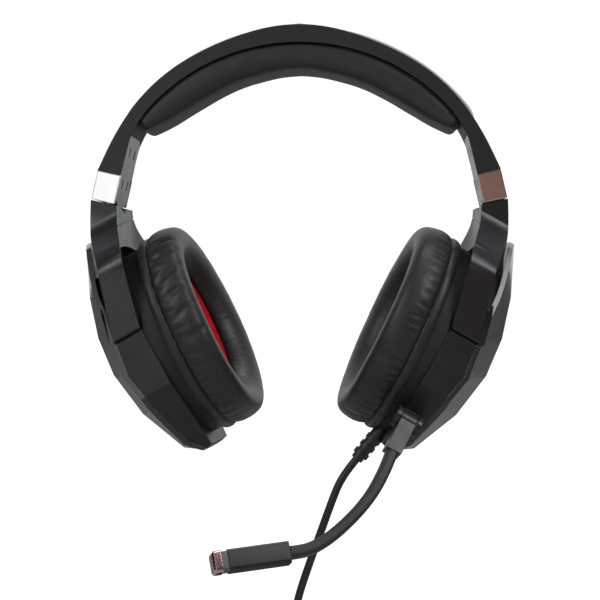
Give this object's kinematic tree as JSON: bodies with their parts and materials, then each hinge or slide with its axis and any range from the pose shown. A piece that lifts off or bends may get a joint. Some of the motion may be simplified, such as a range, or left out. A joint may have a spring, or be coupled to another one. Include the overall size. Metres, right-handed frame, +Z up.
{
  "type": "gaming headset",
  "caption": "Over-ear headset with a sprung headband, sliding yokes, tilting padded cups, a boom microphone and a tied cable.",
  "frame": {"origin": "middle of the underside of the headband pad, where the headband rests on the head", "axes": "+Z up, +X the wearer's left, the side with the microphone and cable, -Y the way the wearer faces"},
  "size_m": [0.2032, 0.1402, 0.375],
  "materials": {
    "band_plastic": "satin black moulded plastic",
    "gloss_trim": "glossy dark grey plastic",
    "leatherette": "black leatherette with a soft sheen",
    "spring_steel": "bright spring steel",
    "screw_steel": "blackened screw steel",
    "cover_plastic": "satin mid-grey moulded plastic",
    "chrome": "bright chrome plating",
    "yoke_plastic": "satin dark grey moulded plastic",
    "slider_steel": "brushed steel strip",
    "pin_steel": "turned steel",
    "cup_plastic": "satin black moulded plastic",
    "gloss_plate": "glossy dark grey plastic",
    "baffle_plastic": "matt black moulded plastic",
    "grille_plastic": "matt black perforated plastic",
    "magnet_metal": "plated metal",
    "diaphragm_film": "thin plastic film",
    "red_cloth": "red mesh cloth",
    "mic_plastic": "satin dark grey plastic",
    "boom_rubber": "flexible black rubber over a wire core",
    "mic_ring_plastic": "matt black plastic",
    "red_chrome": "reddish metallised plastic",
    "cable_rubber": "smooth black cable jacket",
    "tie_strap": "black tie strap",
    "plug_rubber": "moulded black rubber",
    "jack_metal": "gold-coloured plating"
  },
  "bodies": {
    "band": {"headband_shell": "band_plastic", "headband_top_plate": "gloss_trim", "headband_pad": "leatherette", "headband_spring_strip": "spring_steel", "headband_screws": "screw_steel", "left_inner_cover": "cover_plastic", "left_chrome_collar": "chrome", "left_detent_spring": "spring_steel", "right_inner_cover": "cover_plastic", "right_chrome_collar": "chrome", "right_detent_spring": "spring_steel"},
    "left_arm": {"left_yoke": "yoke_plastic", "left_yoke_inner_cover": "cover_plastic", "left_slider_strip": "slider_steel", "left_pivot_pins": "pin_steel"},
    "left_cup": {"left_cup_housing": "cup_plastic", "left_outer_plate": "gloss_plate", "left_plate_inlay": "gloss_trim", "left_baffle": "baffle_plastic", "left_driver_grille": "grille_plastic", "left_driver_frame": "baffle_plastic", "left_driver_magnet": "magnet_metal", "left_driver_diaphragm": "diaphragm_film", "left_cloth": "red_cloth", "left_cushion": "leatherette", "left_cup_screws": "screw_steel", "mic_mount": "mic_plastic", "mic_pin": "pin_steel", "strain_relief": "cable_rubber", "cable": "cable_rubber", "cable_coil": "cable_rubber", "cable_tie": "tie_strap", "cable_tail": "cable_rubber", "plug_body": "plug_rubber", "plug_contact": "jack_metal"},
    "mic": {"mic_block": "mic_plastic", "mic_boom": "boom_rubber", "mic_case": "mic_plastic", "mic_ring": "mic_ring_plastic", "mic_end_cap": "red_chrome", "mic_capsule": "magnet_metal"},
    "right_arm": {"right_yoke": "yoke_plastic", "right_yoke_inner_cover": "cover_plastic", "right_slider_strip": "slider_steel", "right_pivot_pins": "pin_steel"},
    "right_cup": {"right_cup_housing": "cup_plastic", "right_outer_plate": "gloss_plate", "right_plate_inlay": "gloss_trim", "right_baffle": "baffle_plastic", "right_driver_grille": "grille_plastic", "right_driver_frame": "baffle_plastic", "right_driver_magnet": "magnet_metal", "right_driver_diaphragm": "diaphragm_film", "right_cloth": "red_cloth", "right_cushion": "leatherette", "right_cup_screws": "screw_steel"}
  },
  "joints": [
    {"name": "left_slide", "type": "slide", "parent": "band", "child": "left_arm", "axis": [0.225, 0, -0.9744], "range_m": [0, 0.022]},
    {"name": "right_slide", "type": "slide", "parent": "band", "child": "right_arm", "axis": [-0.225, 0, -0.9744], "range_m": [0, 0.022]},
    {"name": "left_tilt", "type": "hinge", "parent": "left_arm", "child": "left_cup", "pos_m": [0.07745, -0.00052, -0.11432], "axis": [-0.061, 0.9981, 0], "range_deg": [-1, 6]},
    {"name": "right_tilt", "type": "hinge", "parent": "right_arm", "child": "right_cup", "pos_m": [-0.07745, -0.00052, -0.11432], "axis": [-0.061, -0.9981, 0], "range_deg": [-1, 6]},
    {"name": "mic_swing", "type": "hinge", "parent": "left_cup", "child": "mic", "pos_m": [0.05088, -0.04723, -0.16319], "axis": [-0.8687, -0.0531, 0.4924], "range_deg": [-20, 110]}
  ]
}
